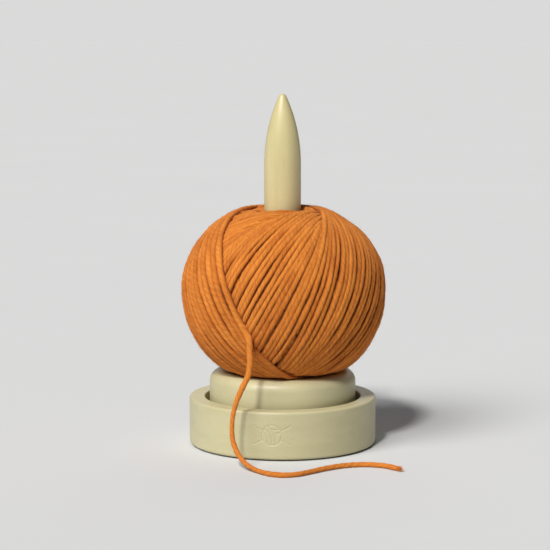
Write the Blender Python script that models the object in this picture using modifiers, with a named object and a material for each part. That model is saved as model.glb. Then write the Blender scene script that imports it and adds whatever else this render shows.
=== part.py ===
"""A yarn holder: a turned wooden base, a disc that turns in it on a ball bearing, and a pointed peg for a ball of yarn.

Blender 4.5. Metres, +Z up, with the origin on the table under the middle of the base. One object for each piece.
"""

from math import acos, cos, degrees, pi, radians, sin, sqrt, tau

import bmesh
import bpy
from mathutils import Matrix, Vector

MM = 0.001
GAP = 0.3 * MM  # between pieces that touch
OVERCUT = 1.0 * MM  # how far a cutter runs past the face that it opens

PARTS = "yarn_holder"  # the collections
CUTTERS = "cutters"

# Driving dimensions
BASE_RADIUS = 53.5 * MM
RIM_Z = 27.5 * MM
DISC_RADIUS = 41.9 * MM
DISC_TOP_Z = 42.3 * MM
SPINDLE_RADIUS = 10.5 * MM
SPINDLE_TIP_Z = 200.0 * MM
YARN_RADIUS = 58.0 * MM

# Base
BASE_BOTTOM_Z = 0.8 * MM  # the pads hold it this far off the table
WELL_RADIUS = 44.6 * MM
WELL_FLOOR_Z = 10.2 * MM
WELL_FILLET = 2.0 * MM
RIM_INNER_ROUND = 0.8 * MM
RIM_OUTER_ROUND = 1.3 * MM
BASE_FOOT_ROUND = 1.5 * MM
COUNTERBORE_RADIUS = 11.0 * MM
COUNTERBORE_Z = 6.2 * MM  # its roof, which the bush's flange bears on

# Felt pads under the base
PAD_COUNT = 4
PAD_RADIUS = 6.0 * MM
PAD_THICK = 1.9 * MM
PAD_CIRCLE_RADIUS = 42.0 * MM

# Thrust ball bearing
STEEL_BALL_COUNT = 12
STEEL_BALL_RADIUS = 2.5 * MM
TRACK_RADIUS = 22.0 * MM  # from the axis to the balls' centres
GROOVE_RADIUS = STEEL_BALL_RADIUS + GAP
GROOVE_DEPTH = 1.1 * MM
RACE_INNER_RADIUS = 14.0 * MM
RACE_OUTER_RADIUS = 36.0 * MM
RACE_THICK = 2.4 * MM
LOWER_RACE_Z = WELL_FLOOR_Z + GAP
TRACK_Z = LOWER_RACE_Z + RACE_THICK - GROOVE_DEPTH + GROOVE_RADIUS
UPPER_RACE_Z = TRACK_Z + GROOVE_RADIUS - GROOVE_DEPTH
CAGE_THICK = 1.2 * MM
CAGE_HALF_WIDTH = 4.6 * MM

# Countersunk screws that hold the two races
SCREW_COUNT = 3
SCREW_CIRCLE_RADIUS = 31.0 * MM
SCREW_LENGTH = 7.5 * MM
SCREW_RADIUS = 1.25 * MM
SCREW_POINT = 2.0 * MM
SCREW_HEAD_RADIUS = 2.7 * MM
SCREW_HEAD_HEIGHT = 1.5 * MM
SCREW_SINK = 0.15 * MM  # how far the head lies below the race's face

# Turntable disc
DISC_BOTTOM_Z = UPPER_RACE_Z + RACE_THICK + GAP
DISC_TOP_ROUND = 6.3 * MM
DISC_BOTTOM_ROUND = 1.2 * MM
SOCKET_FLOOR_Z = 30.9 * MM  # of the socket that the spindle's tenon is glued in
TENON_RADIUS = 7.0 * MM

# Spindle
OGIVE_START_Z = 160.0 * MM
OGIVE_LENGTH = 43.0 * MM  # to where its curve would meet the axis, past the blunt tip
TIP_RADIUS = 2.3 * MM
TIP_SPREAD = 68.0  # degrees from the tip to where the ogive takes over

# Pivot, from below: the bolt's head, the washer, the bush in the base and the insert in the disc
BOLT_RADIUS = 3.0 * MM
BOLT_HEAD_RADIUS = 6.0 * MM
BOLT_HEAD_Z = 1.0 * MM
BOLT_HEAD_HEIGHT = 2.2 * MM
BOLT_END_Z = 27.4 * MM
HEX_RADIUS = 2.4 * MM
HEX_DEPTH = 1.3 * MM
PIVOT_BORE_RADIUS = BOLT_RADIUS + 0.35 * MM
WASHER_RADIUS = 8.0 * MM
WASHER_THICK = 1.0 * MM
WASHER_Z = BOLT_HEAD_Z + BOLT_HEAD_HEIGHT + GAP
FLANGE_RADIUS = 9.5 * MM
FLANGE_Z = WASHER_Z + WASHER_THICK + GAP
BUSH_RADIUS = 5.0 * MM
BUSH_TOP_Z = 12.0 * MM
INSERT_RADIUS = 5.0 * MM
INSERT_LENGTH = 8.5 * MM

# Ball of yarn: a superellipse turned about the axis, flat where it stands, with a hole for the spindle
YARN_WAIST_Z = 88.4 * MM
YARN_UPPER_HEIGHT = 51.2 * MM  # from the waist to where each curve would meet the axis
YARN_LOWER_HEIGHT = 55.8 * MM
YARN_POWER = 2.06
YARN_TOP_Z = 135.5 * MM
YARN_BOTTOM_Z = DISC_TOP_Z + GAP
YARN_HOLE_RADIUS = 11.4 * MM
YARN_MOUTH_ROUND = 5.0 * MM

# Loose strand: from the side of the ball, down past the base and along the table, in millimetres
STRAND_RADIUS = 1.35 * MM
STRAND_STEP = 4 * STRAND_RADIUS  # between the tube's rings
STRAND_ROUTE = [
    (-18.2, -53.0, 67.5),
    (-17.9, -53.6, 60.9),
    (-17.8, -54.3, 54.6),
    (-18.9, -55.4, 48.2),
    (-22.2, -57.0, 41.3),
    (-25.0, -58.8, 34.8),
    (-26.9, -60.6, 27.8),
    (-27.5, -62.6, 20.8),
    (-26.9, -65.2, 14.1),
    (-24.2, -69.0, 8.1),
    (-19.8, -74.6, 3.8),
    (-14.0, -80.9, 1.7),
    (-7.4, -88.2, 1.5),
    (0.0, -91.4, 1.5),
    (7.4, -89.6, 1.5),
    (14.8, -83.4, 1.5),
    (23.6, -75.2, 1.5),
    (33.4, -68.8, 1.5),
    (44.2, -66.2, 1.5),
    (54.6, -69.0, 1.5),
    (62.4, -76.4, 1.5),
]

LARGE_STEPS = 48  # facets round a turned piece
MEDIUM_STEPS = 32
SMALL_STEPS = 16

COLOURS = {  # name: (red, green, blue, roughness, metallic)
    "pale_wood": (0.62, 0.55, 0.37, 0.45, 0.0),
    "orange_wool": (0.75, 0.25, 0.04, 0.95, 0.0),
    "grey_felt": (0.20, 0.20, 0.19, 0.95, 0.0),
    "steel": (0.55, 0.55, 0.56, 0.30, 1.0),
    "brass": (0.78, 0.60, 0.28, 0.30, 1.0),
    "white_nylon": (0.85, 0.84, 0.78, 0.40, 0.0),
}


# Helpers


def clear_scene():
    for obj in list(bpy.data.objects):
        bpy.data.objects.remove(obj)


def make_collections():
    for name in (PARTS, CUTTERS):
        made = bpy.data.collections.new(name)
        bpy.context.scene.collection.children.link(made)
    bpy.data.collections[CUTTERS].hide_render = True


def make_materials():
    for name, (red, green, blue, roughness, metallic) in COLOURS.items():
        material = bpy.data.materials.new(name)
        material.diffuse_color = (red, green, blue, 1.0)
        material.use_nodes = True
        shader = material.node_tree.nodes["Principled BSDF"]
        shader.inputs["Base Color"].default_value = (red, green, blue, 1.0)
        shader.inputs["Roughness"].default_value = roughness
        shader.inputs["Metallic"].default_value = metallic


def arc(centre, radius, start, end, count):
    """Points (r, z) along a circle's arc, from start to end in degrees."""
    angles = [radians(start + (end - start) * i / count) for i in range(count + 1)]
    return [(centre[0] + radius * cos(a), centre[1] + radius * sin(a)) for a in angles]


def around(count, radius, first=0.0):
    """Places (x, y) evenly round the axis, the first of them at an angle in degrees."""
    angles = [radians(first) + tau * i / count for i in range(count)]
    return [(radius * cos(a), radius * sin(a)) for a in angles]


def add_part(name, data, material):
    obj = bpy.data.objects.new(name, data)
    bpy.data.collections[PARTS].objects.link(obj)
    if not data.materials:
        data.materials.append(bpy.data.materials[material])
    return obj


def turned(name, profile, material, steps=LARGE_STEPS):
    """A profile (r, z) that runs down its outer side, turned about Z. It is a ring unless it starts on the axis."""
    edges = [(i, i + 1) for i in range(len(profile) - 1)]
    if profile[0][0] > 0:
        edges.append((len(profile) - 1, 0))
    mesh = bpy.data.meshes.new(name)
    mesh.from_pydata([(r, 0, z) for r, z in profile], edges, [])
    obj = add_part(name, mesh, material)
    screw = obj.modifiers.new("Turn", "SCREW")
    screw.steps = steps
    screw.render_steps = steps
    screw.use_merge_vertices = True
    screw.merge_threshold = 0.00001
    return obj


def tube_ring(name, inner, outer, low, high, material, steps=MEDIUM_STEPS):
    return turned(name, [(inner, high), (outer, high), (outer, low), (inner, low)], material, steps)


def cylinders(name, places, radius, low, high, sides=SMALL_STEPS, top_radius=None):
    """Upright cylinders, or cones where a top radius is given, one at each place (x, y), in one mesh."""
    form = bmesh.new()
    for x, y in places:
        bmesh.ops.create_cone(
            form,
            cap_ends=True,
            segments=sides,
            radius1=radius,
            radius2=top_radius or radius,
            depth=high - low,
            matrix=Matrix.Translation((x, y, (low + high) / 2)),
        )
    mesh = bpy.data.meshes.new(name)
    form.to_mesh(mesh)
    form.free()
    return mesh


def cut(obj, cutter_mesh):
    """Takes a mesh of cutters out of a piece."""
    cutter = bpy.data.objects.new(cutter_mesh.name, cutter_mesh)
    bpy.data.collections[CUTTERS].objects.link(cutter)
    cutter.hide_render = True
    cutter.display_type = "WIRE"
    boolean = obj.modifiers.new(cutter_mesh.name, "BOOLEAN")
    boolean.operation = "DIFFERENCE"
    boolean.solver = "EXACT"
    boolean.object = cutter


# Base


def make_base():
    """An annular wall round a well, on a floor with a hole for the bush."""
    bush_hole = BUSH_RADIUS + GAP
    rim_inner = (WELL_RADIUS + RIM_INNER_ROUND, RIM_Z - RIM_INNER_ROUND)
    rim_outer = (BASE_RADIUS - RIM_OUTER_ROUND, RIM_Z - RIM_OUTER_ROUND)
    foot = (BASE_RADIUS - BASE_FOOT_ROUND, BASE_BOTTOM_Z + BASE_FOOT_ROUND)
    well_corner = (WELL_RADIUS - WELL_FILLET, WELL_FLOOR_Z + WELL_FILLET)
    profile = [
        *arc(rim_inner, RIM_INNER_ROUND, 180, 90, 2),
        *arc(rim_outer, RIM_OUTER_ROUND, 90, 0, 3),
        *arc(foot, BASE_FOOT_ROUND, 0, -90, 2),
        (COUNTERBORE_RADIUS, BASE_BOTTOM_Z),
        (COUNTERBORE_RADIUS, COUNTERBORE_Z),
        (bush_hole, COUNTERBORE_Z),
        (bush_hole, WELL_FLOOR_Z),
        *arc(well_corner, WELL_FILLET, -90, 0, 2),
    ]
    base = turned("base_housing", profile, "pale_wood")
    pads = around(PAD_COUNT, PAD_CIRCLE_RADIUS, first=45)
    cut(base, cylinders("pad_recesses", pads, PAD_RADIUS + GAP, -OVERCUT, PAD_THICK + GAP))
    pilot_end = LOWER_RACE_Z + RACE_THICK - SCREW_LENGTH - 2 * GAP
    cut(base, cylinders("base_pilot_holes", screw_places(), SCREW_RADIUS + GAP, pilot_end, WELL_FLOOR_Z + OVERCUT))


def make_foot_pads():
    mesh = cylinders("foot_pad", [(0, 0)], PAD_RADIUS, 0, PAD_THICK)
    for number, (x, y) in enumerate(around(PAD_COUNT, PAD_CIRCLE_RADIUS, first=45), start=1):
        pad = add_part(f"foot_pad_{number}", mesh, "grey_felt")
        pad.location = (x, y, 0)


# Bearing


def screw_places():
    return around(SCREW_COUNT, SCREW_CIRCLE_RADIUS, first=90)


def make_races():
    """Two rings, each with a groove for the balls and three countersunk holes in the face that meets the balls."""
    groove_centre = (TRACK_RADIUS, TRACK_Z)
    half_angle = degrees(acos((GROOVE_RADIUS - GROOVE_DEPTH) / GROOVE_RADIUS))
    lower_face = LOWER_RACE_Z + RACE_THICK
    lower = [
        (RACE_INNER_RADIUS, lower_face),
        *arc(groove_centre, GROOVE_RADIUS, -90 - half_angle, -90 + half_angle, 4),
        (RACE_OUTER_RADIUS, lower_face),
        (RACE_OUTER_RADIUS, LOWER_RACE_Z),
        (RACE_INNER_RADIUS, LOWER_RACE_Z),
    ]
    upper = [
        (RACE_INNER_RADIUS, UPPER_RACE_Z + RACE_THICK),
        (RACE_OUTER_RADIUS, UPPER_RACE_Z + RACE_THICK),
        (RACE_OUTER_RADIUS, UPPER_RACE_Z),
        *arc(groove_centre, GROOVE_RADIUS, 90 - half_angle, 90 + half_angle, 4),
        (RACE_INNER_RADIUS, UPPER_RACE_Z),
    ]
    make_race("lower_race", lower, lower_face, facing=1)
    make_race("upper_race", upper, UPPER_RACE_Z, facing=-1)


def make_race(name, profile, face_z, facing):
    """One ring and its screws. Its face looks up where facing is 1 and down where it is -1."""
    race = turned(name, profile, "steel")
    back_z = face_z - facing * RACE_THICK
    low, high = sorted((face_z + facing * OVERCUT, back_z - facing * OVERCUT))
    cut(race, cylinders(name + "_holes", screw_places(), SCREW_RADIUS + GAP, low, high))

    slope = (SCREW_HEAD_RADIUS - SCREW_RADIUS) / SCREW_HEAD_HEIGHT
    overlap = GAP  # by which the cone runs into the straight hole
    wide = SCREW_RADIUS + GAP + slope * (SCREW_HEAD_HEIGHT + SCREW_SINK + OVERCUT)
    narrow = SCREW_RADIUS + GAP - slope * overlap
    inner_z = face_z - facing * (SCREW_SINK + SCREW_HEAD_HEIGHT + overlap)
    low, high = sorted((face_z + facing * OVERCUT, inner_z))
    bottom, top = (narrow, wide) if facing > 0 else (wide, narrow)
    cut(race, cylinders(name + "_countersinks", screw_places(), bottom, low, high, top_radius=top))

    for number, (x, y) in enumerate(screw_places(), start=1):
        screw = make_screw(f"{name}_screw_{number}")
        screw.location = (x, y, face_z - facing * SCREW_SINK)
        screw.rotation_euler.x = 0 if facing > 0 else pi


def make_screw(name):
    """A countersunk screw that points down, with its head's top at its origin."""
    profile = [
        (0, 0),
        (SCREW_HEAD_RADIUS, 0),
        (SCREW_RADIUS, -SCREW_HEAD_HEIGHT),
        (SCREW_RADIUS, SCREW_POINT - SCREW_LENGTH),
        (0, -SCREW_LENGTH),
    ]
    return turned(name, profile, "steel", SMALL_STEPS)


def make_steel_balls():
    form = bmesh.new()
    bmesh.ops.create_uvsphere(form, u_segments=12, v_segments=6, radius=STEEL_BALL_RADIUS)
    mesh = bpy.data.meshes.new("bearing_ball")
    form.to_mesh(mesh)
    form.free()
    for number, (x, y) in enumerate(around(STEEL_BALL_COUNT, TRACK_RADIUS), start=1):
        ball = add_part(f"bearing_ball_{number:02}", mesh, "steel")
        ball.location = (x, y, TRACK_Z)


def make_cage():
    low = TRACK_Z - CAGE_THICK / 2
    high = TRACK_Z + CAGE_THICK / 2
    cage = tube_ring("ball_cage", TRACK_RADIUS - CAGE_HALF_WIDTH, TRACK_RADIUS + CAGE_HALF_WIDTH, low, high,
                     "white_nylon")
    pockets = around(STEEL_BALL_COUNT, TRACK_RADIUS)
    cut(cage, cylinders("cage_pockets", pockets, STEEL_BALL_RADIUS + GAP, low - OVERCUT, high + OVERCUT))


# Turntable


def make_disc():
    """A thick disc with a well rounded top edge, a socket above for the spindle and a bore below for the insert."""
    socket = TENON_RADIUS + GAP
    bore = INSERT_RADIUS + GAP
    bore_end = DISC_BOTTOM_Z + INSERT_LENGTH + 2 * GAP
    top_corner = (DISC_RADIUS - DISC_TOP_ROUND, DISC_TOP_Z - DISC_TOP_ROUND)
    bottom_corner = (DISC_RADIUS - DISC_BOTTOM_ROUND, DISC_BOTTOM_Z + DISC_BOTTOM_ROUND)
    profile = [
        (0, SOCKET_FLOOR_Z),
        (socket, SOCKET_FLOOR_Z),
        (socket, DISC_TOP_Z),
        *arc(top_corner, DISC_TOP_ROUND, 90, 0, 5),
        *arc(bottom_corner, DISC_BOTTOM_ROUND, 0, -90, 2),
        (bore, DISC_BOTTOM_Z),
        (bore, bore_end),
        (0, bore_end),
    ]
    disc = turned("turntable_disc", profile, "pale_wood")
    pilot_end = UPPER_RACE_Z + SCREW_LENGTH + 2 * GAP
    cut(disc, cylinders("disc_pilot_holes", screw_places(), SCREW_RADIUS + GAP, DISC_BOTTOM_Z - OVERCUT, pilot_end))


def ogive_radius(z):
    """The spindle's radius above OGIVE_START_Z: a circle's arc that leaves the straight part without a corner."""
    bow = (SPINDLE_RADIUS**2 + OGIVE_LENGTH**2) / (2 * SPINDLE_RADIUS)
    return sqrt(bow**2 - (z - OGIVE_START_Z) ** 2) - (bow - SPINDLE_RADIUS)


def make_spindle():
    tip = arc((0, SPINDLE_TIP_Z - TIP_RADIUS), TIP_RADIUS, 90, 90 - TIP_SPREAD, 3)
    tip[0] = (0, SPINDLE_TIP_Z)
    ogive_steps = 8
    ogive_top = tip[-1][1] - TIP_RADIUS
    heights = [ogive_top + (OGIVE_START_Z - ogive_top) * i / ogive_steps for i in range(ogive_steps + 1)]
    shoulder_z = DISC_TOP_Z + GAP
    profile = [
        *tip,
        *[(ogive_radius(z), z) for z in heights],
        (SPINDLE_RADIUS, shoulder_z),
        (TENON_RADIUS, shoulder_z),
        (TENON_RADIUS, SOCKET_FLOOR_Z + GAP),
        (0, SOCKET_FLOOR_Z + GAP),
    ]
    turned("spindle", profile, "pale_wood", MEDIUM_STEPS)


# Pivot


def make_pivot():
    """The bolt screws into the disc's insert and turns with it in the bush, which stays in the base."""
    head_top = BOLT_HEAD_Z + BOLT_HEAD_HEIGHT
    bolt_profile = [
        (0, BOLT_END_Z),
        (BOLT_RADIUS, BOLT_END_Z),
        (BOLT_RADIUS, head_top),
        (BOLT_HEAD_RADIUS, head_top),
        (BOLT_HEAD_RADIUS, BOLT_HEAD_Z),
        (0, BOLT_HEAD_Z),
    ]
    bolt = turned("pivot_bolt", bolt_profile, "steel", MEDIUM_STEPS)
    hex_low = BOLT_HEAD_Z - OVERCUT
    cut(bolt, cylinders("hex_recess", [(0, 0)], HEX_RADIUS, hex_low, BOLT_HEAD_Z + HEX_DEPTH, sides=6))

    tube_ring("thrust_washer", PIVOT_BORE_RADIUS, WASHER_RADIUS, WASHER_Z, WASHER_Z + WASHER_THICK, "white_nylon")

    flange_top = COUNTERBORE_Z - GAP
    bush_profile = [
        (PIVOT_BORE_RADIUS, BUSH_TOP_Z),
        (BUSH_RADIUS, BUSH_TOP_Z),
        (BUSH_RADIUS, flange_top),
        (FLANGE_RADIUS, flange_top),
        (FLANGE_RADIUS, FLANGE_Z),
        (PIVOT_BORE_RADIUS, FLANGE_Z),
    ]
    turned("pivot_bush", bush_profile, "brass", MEDIUM_STEPS)

    insert_z = DISC_BOTTOM_Z + GAP
    tube_ring("threaded_insert", PIVOT_BORE_RADIUS, INSERT_RADIUS, insert_z, insert_z + INSERT_LENGTH, "brass")


# Yarn


def yarn_outline(angle, height):
    """A point (r, z) of the ball's outline, at a parameter angle in degrees above the waist, or below it if negative."""
    flatness = 2 / YARN_POWER
    rise = height * abs(sin(radians(angle))) ** flatness
    r = YARN_RADIUS * cos(radians(angle)) ** flatness
    return (r, YARN_WAIST_Z + (rise if angle > 0 else -rise))


def angle_at(z, height):
    """The parameter angle, in degrees, at which the outline comes to a height."""
    share = abs(z - YARN_WAIST_Z) / height
    above = degrees(acos(sqrt(1 - share**YARN_POWER)))
    return above if z > YARN_WAIST_Z else -above


def make_yarn_ball():
    top_angle = angle_at(YARN_TOP_Z, YARN_UPPER_HEIGHT)
    bottom_angle = angle_at(YARN_BOTTOM_Z, YARN_LOWER_HEIGHT)
    count = 7
    mouth = (YARN_HOLE_RADIUS + YARN_MOUTH_ROUND, YARN_TOP_Z - YARN_MOUTH_ROUND)
    profile = [
        *arc(mouth, YARN_MOUTH_ROUND, 180, 90, 3),
        *[yarn_outline(top_angle * (1 - i / count), YARN_UPPER_HEIGHT) for i in range(count)],
        *[yarn_outline(bottom_angle * i / count, YARN_LOWER_HEIGHT) for i in range(count + 1)],
        (YARN_HOLE_RADIUS, YARN_BOTTOM_Z),
    ]
    turned("yarn_ball", profile, "orange_wool")


def smooth_route(points, step):
    """Points on a Catmull-Rom curve through the route's points, about a step apart."""
    ends = [2 * points[0] - points[1], *points, 2 * points[-1] - points[-2]]
    smooth = []
    for a, b, c, d in zip(ends, ends[1:], ends[2:], ends[3:]):
        count = max(1, round((c - b).length / step))
        for i in range(count):
            t = i / count
            square = 2 * a - 5 * b + 4 * c - d
            cube = 3 * b - a - 3 * c + d
            smooth.append((2 * b + (c - a) * t + square * t**2 + cube * t**3) / 2)
    return [*smooth, points[-1]]


def make_yarn_strand():
    route = smooth_route([Vector(point) * MM for point in STRAND_ROUTE], STRAND_STEP)
    curve = bpy.data.curves.new("yarn_strand", "CURVE")
    curve.dimensions = "3D"
    curve.bevel_depth = STRAND_RADIUS
    curve.bevel_resolution = 2
    curve.use_fill_caps = True
    spline = curve.splines.new("POLY")
    spline.points.add(len(route) - 1)
    for point, place in zip(spline.points, route):
        point.co = (*place, 1.0)
    add_part("yarn_strand", curve, "orange_wool")


def main():
    clear_scene()
    make_collections()
    make_materials()
    make_base()
    make_foot_pads()
    make_races()
    make_steel_balls()
    make_cage()
    make_disc()
    make_spindle()
    make_pivot()
    make_yarn_ball()
    make_yarn_strand()


main()
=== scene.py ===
"""The looks of a yarn holder: turned wood, its bearing and fittings, a ball of yarn and its loose strand."""

from math import acos, atan2, cos, degrees, hypot, radians, sin, sqrt, tau

import bmesh
import bpy
import numpy as np
from mathutils import Matrix, Vector
from mathutils.kdtree import KDTree


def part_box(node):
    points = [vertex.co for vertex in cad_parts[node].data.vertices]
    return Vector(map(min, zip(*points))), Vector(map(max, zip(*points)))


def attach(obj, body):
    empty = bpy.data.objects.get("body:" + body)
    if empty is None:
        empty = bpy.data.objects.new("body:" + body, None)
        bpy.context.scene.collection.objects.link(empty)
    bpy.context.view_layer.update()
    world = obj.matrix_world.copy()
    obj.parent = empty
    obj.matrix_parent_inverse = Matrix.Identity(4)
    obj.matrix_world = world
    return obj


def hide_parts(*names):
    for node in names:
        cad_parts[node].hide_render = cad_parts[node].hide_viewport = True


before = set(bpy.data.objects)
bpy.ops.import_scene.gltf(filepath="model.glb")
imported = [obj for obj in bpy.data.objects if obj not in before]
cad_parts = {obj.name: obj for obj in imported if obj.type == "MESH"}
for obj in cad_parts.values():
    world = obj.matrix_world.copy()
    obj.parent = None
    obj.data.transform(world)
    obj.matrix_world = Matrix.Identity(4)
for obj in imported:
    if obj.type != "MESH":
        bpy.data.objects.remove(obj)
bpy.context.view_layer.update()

MM = 0.001
GAP = 0.3 * MM  # between pieces that touch


# Sizes that the CAD model's boxes give

BASE_LOW, BASE_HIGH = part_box("base_housing")
DISC_LOW, DISC_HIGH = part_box("turntable_disc")
SPINDLE_LOW, SPINDLE_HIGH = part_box("spindle")
YARN_LOW, YARN_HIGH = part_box("yarn_ball")
PAD_LOW, PAD_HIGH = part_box("foot_pad_1")
BOLT_LOW, BOLT_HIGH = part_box("pivot_bolt")
BUSH_LOW, BUSH_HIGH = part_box("pivot_bush")
INSERT_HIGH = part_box("threaded_insert")[1]
CAGE_LOW, CAGE_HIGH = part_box("ball_cage")

BASE_RADIUS = BASE_HIGH.x
RIM_Z = BASE_HIGH.z
BASE_BOTTOM_Z = BASE_LOW.z
DISC_RADIUS = DISC_HIGH.x
DISC_TOP_Z = DISC_HIGH.z
SPINDLE_RADIUS = SPINDLE_HIGH.x

# Sizes inside those boxes, as the CAD model has them

WELL_RADIUS = 44.6 * MM
WELL_FLOOR_Z = 10.2 * MM
WELL_FILLET = 2.0 * MM
COUNTERBORE_RADIUS = 11.0 * MM
COUNTERBORE_Z = 6.2 * MM
SOCKET_FLOOR_Z = 30.9 * MM
TENON_RADIUS = 7.0 * MM
OGIVE_START_Z = 160.0 * MM
OGIVE_LENGTH = 43.0 * MM
TIP_RADIUS = 2.3 * MM
PIVOT_BORE_RADIUS = 3.35 * MM
BUSH_RADIUS = 5.0 * MM
BOLT_RADIUS = 3.0 * MM
BOLT_HEAD_TOP_Z = 3.2 * MM
HEX_RADIUS = 2.4 * MM
HEX_DEPTH = 1.3 * MM
STEEL_BALL_RADIUS = 2.5 * MM
TRACK_RADIUS = 22.0 * MM
TRACK_Z = (CAGE_LOW.z + CAGE_HIGH.z) / 2
GROOVE_RADIUS = STEEL_BALL_RADIUS + GAP
RACE_INNER_RADIUS = 14.0 * MM
CAGE_INNER_RADIUS = 17.4 * MM
SCREW_CIRCLE_RADIUS = 31.0 * MM
SCREW_RADIUS = 1.25 * MM
SCREW_HEAD_RADIUS = 2.7 * MM
SCREW_HEAD_HEIGHT = 1.5 * MM
SCREW_SINK = 0.15 * MM
SCREW_COUNT = 3
KNURL_COUNT = 36
KNURL_HALF_DEPTH = 0.12 * MM
STEEL_BALL_COUNT = 12
PAD_COUNT = 4
PAD_RADIUS = (PAD_HIGH.x - PAD_LOW.x) / 2

# The ball of yarn

PLIES = 3
TWIST_PITCH = 11 * MM  # of the yarn's own twist
YARN_RADIUS = YARN_HIGH.x
YARN_WAIST_Z = 88.4 * MM
YARN_UPPER_HEIGHT = 51.2 * MM
YARN_LOWER_HEIGHT = 55.8 * MM
YARN_UPPER_POWER = 2.03
YARN_LOWER_POWER = 2.09
YARN_OFFSET = 0.7 * MM  # of the whole ball to the right
YARN_HOLE_RADIUS = 11.4 * MM
YARN_MIDDLE = np.array([YARN_OFFSET, 0, YARN_WAIST_Z])

# Loose strand, whose route is in millimetres as in the CAD model

STRAND_RADIUS = 1.35 * MM
SLACK_PLUMPNESS = 1.4  # of the strand where it leaves the ball, before the pull thins it
PULLED_THIN_AFTER = 60 * MM
LEAD = [(8, -0.5 * MM), (6, 0.3 * MM), (3, 0.9 * MM)]  # points of the newest turn, and its lift there
LEAD_TAPER = 5  # points over which both strands grow to full size there
LEAD_END_SIZE = 0.6  # the share of it that they start with
FRAYED_COUNT = 170  # fibres that come loose at the bare end
FRAYED_LENGTH = (1.6 * MM, 4.0 * MM)
FRAYED_RADIUS = 0.055 * MM
FRAYED_ROOT = 1.2 * MM  # by which they start inside the strand
STRAND_ROUTE = [
    (-18.2, -53.0, 67.5), (-17.9, -53.6, 60.9), (-17.8, -54.3, 54.6),
    (-18.9, -55.4, 48.2), (-22.2, -57.0, 41.3), (-25.0, -58.8, 34.8),
    (-26.9, -60.6, 27.8), (-27.5, -62.6, 20.8), (-26.9, -65.2, 14.1),
    (-24.2, -69.0, 8.1), (-19.8, -74.6, 3.8), (-14.0, -80.9, 1.7),
    (-7.4, -88.2, 1.5), (0.0, -91.4, 1.5), (7.4, -89.6, 1.5),
    (14.8, -83.4, 1.5), (23.6, -75.2, 1.5), (33.4, -68.8, 1.5),
    (44.2, -66.2, 1.5), (54.6, -69.0, 1.5), (62.4, -76.4, 1.5),
]


# Mesh helpers

SMOOTH_ANGLE = 35  # degrees between faces, over which an edge is sharp


def arc(centre, radius, start, end, count):
    """Points (r, z) along a circle's arc, from start to end in degrees."""
    angles = [radians(start + (end - start) * i / count) for i in range(count + 1)]
    return [(centre[0] + radius * cos(a), centre[1] + radius * sin(a)) for a in angles]


def around(count, radius, first=0.0):
    """Places (x, y) evenly round the axis, the first of them at an angle in degrees."""
    angles = [radians(first) + tau * i / count for i in range(count)]
    return [(radius * cos(a), radius * sin(a)) for a in angles]


def linked(name, data):
    """A new object in the scene."""
    obj = bpy.data.objects.new(name, data)
    bpy.context.scene.collection.objects.link(obj)
    return obj


def make_object(name, points, faces, material):
    mesh = bpy.data.meshes.new(name)
    mesh.from_pydata(points, [], faces)
    mesh.materials.append(material)
    mesh.shade_smooth()
    mesh.set_sharp_from_angle(angle=radians(SMOOTH_ANGLE))
    return linked(name, mesh)


def turned(name, profile, material, steps=128, angles=None, press=None):
    """A profile (r, z), down its outer side, turned about Z. Off the axis it closes to a ring.

    press(angle, r, z) is how far a point is pressed in.
    """
    if angles is None:
        angles = [tau * i / steps for i in range(steps)]
    count = len(angles)
    points, rows = [], []
    for r, z in profile:
        if r < 1e-9:
            rows.append([len(points)] * count)
            points.append((0, 0, z))
            continue
        rows.append([len(points) + i for i in range(count)])
        for a in angles:
            pressed = r - press(a, r, z) if press else r
            points.append((pressed * cos(a), pressed * sin(a), z))
    if profile[0][0] > 0:
        rows.append(rows[0])
    faces = []
    for upper, lower in zip(rows, rows[1:]):
        for i in range(count):
            j = (i + 1) % count
            corners = [upper[i], lower[i], lower[j], upper[j]]
            face = [c for k, c in enumerate(corners) if c != corners[k - 1]]
            if len(face) > 2:
                faces.append(face)
    return make_object(name, points, faces, material)


def cut(obj, places, radius, low, high, sides=48, top_radius=None):
    """Takes upright cylinders, or cones if the radius at the top is another, out of a piece."""
    form = bmesh.new()
    for x, y in places:
        middle = Matrix.Translation((x, y, (low + high) / 2))
        bmesh.ops.create_cone(form, cap_ends=True, segments=sides, radius1=radius,
                              radius2=top_radius or radius, depth=high - low, matrix=middle)
    mesh = bpy.data.meshes.new("cutter")
    form.to_mesh(mesh)
    form.free()
    cutter = linked("cutter", mesh)
    boolean = obj.modifiers.new("cut", "BOOLEAN")
    boolean.operation = "DIFFERENCE"
    boolean.solver = "EXACT"
    boolean.object = cutter
    graph = bpy.context.evaluated_depsgraph_get()
    graph.update()
    applied = bpy.data.meshes.new_from_object(obj.evaluated_get(graph))
    obj.modifiers.clear()
    obj.data = applied
    bpy.data.objects.remove(cutter)


def place(obj, body, slot, *nodes):
    """Puts a piece under the empty of the body it rides on and hides the CAD nodes that it stands for. Its
    slot is not used.
    """
    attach(obj, body)
    if nodes:
        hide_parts(*nodes)
    return obj


# Material helpers

MIX_FACTOR, MIX_A, MIX_B, MIX_RESULT = 0, 6, 7, 2  # the Mix node's sockets for colours


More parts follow.
